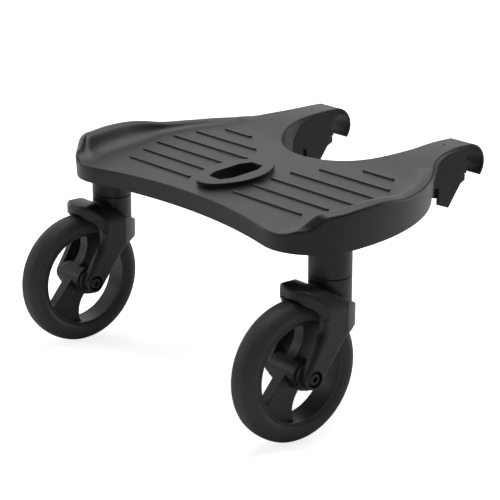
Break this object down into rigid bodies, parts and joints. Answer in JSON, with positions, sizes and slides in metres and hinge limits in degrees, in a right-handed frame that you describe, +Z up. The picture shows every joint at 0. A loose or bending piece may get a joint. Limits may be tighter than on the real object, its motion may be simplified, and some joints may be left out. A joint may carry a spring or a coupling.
{
  "type": "pushchair buggy board",
  "caption": "Ride-on buggy board: dished standing deck with a post slot, sprung-latch hooks for a pushchair's rear axle, and trailing swivel casters with solid tyres.",
  "frame": {"origin": "on the floor under the middle of the board's outline", "axes": "+Z up, +Y towards the pushchair and the hooks, +X to the right of a rider facing the pushchair"},
  "size_m": [0.421, 0.3812, 0.2306],
  "materials": {
    "deck": "fine moulded texture",
    "arm": "fine moulded texture",
    "latch": "smooth moulding",
    "socket": "smooth moulding",
    "fork": "satin moulding",
    "rim": "satin moulding",
    "tyre": "matt solid tyre",
    "bolt": "black coated",
    "spacer": "smooth moulding",
    "bush": "smooth bearing plastic",
    "steel": "bright steel",
    "spring_steel": "spring steel"
  },
  "bodies": {
    "board": {"deck": "deck", "left_arm": "arm", "left_arm_screws": "steel", "left_latch_spring": "spring_steel", "left_socket": "socket", "left_socket_screws": "steel", "left_swivel_bushes": "bush", "right_arm": "arm", "right_arm_screws": "steel", "right_latch_spring": "spring_steel", "right_socket": "socket", "right_socket_screws": "steel", "right_swivel_bushes": "bush"},
    "left_caster": {"left_fork": "fork", "left_swivel_pin": "steel", "left_retaining_ring": "spring_steel", "left_axle_bolt": "bolt", "left_axle_nut": "bolt", "left_wheel_spacers": "spacer"},
    "left_wheel": {"left_rim": "rim", "left_tyre": "tyre", "left_wheel_bearings": "steel"},
    "left_latch_slide": {"left_latch": "latch"},
    "right_caster": {"right_fork": "fork", "right_swivel_pin": "steel", "right_retaining_ring": "spring_steel", "right_axle_bolt": "bolt", "right_axle_nut": "bolt", "right_wheel_spacers": "spacer"},
    "right_wheel": {"right_rim": "rim", "right_tyre": "tyre", "right_wheel_bearings": "steel"},
    "right_latch_slide": {"right_latch": "latch"}
  },
  "joints": [
    {"name": "left_swivel", "type": "hinge", "parent": "board", "child": "left_caster", "pos_m": [-0.1785, -0.0756, 0.17], "axis": [0, 0, 1], "continuous": true},
    {"name": "left_wheel_turn", "type": "hinge", "parent": "left_caster", "child": "left_wheel", "pos_m": [-0.1785, -0.1206, 0.07], "axis": [1, 0, 0], "continuous": true},
    {"name": "left_latch_travel", "type": "slide", "parent": "board", "child": "left_latch_slide", "axis": [0, -1, 0], "range_m": [0, 0.01], "stiffness_N_per_m": 600, "deforming": ["left_latch_spring"]},
    {"name": "right_swivel", "type": "hinge", "parent": "board", "child": "right_caster", "pos_m": [0.1785, -0.0756, 0.17], "axis": [0, 0, 1], "continuous": true},
    {"name": "right_wheel_turn", "type": "hinge", "parent": "right_caster", "child": "right_wheel", "pos_m": [0.1785, -0.1206, 0.07], "axis": [1, 0, 0], "continuous": true},
    {"name": "right_latch_travel", "type": "slide", "parent": "board", "child": "right_latch_slide", "axis": [0, -1, 0], "range_m": [0, 0.01], "stiffness_N_per_m": 600, "deforming": ["right_latch_spring"]}
  ]
}
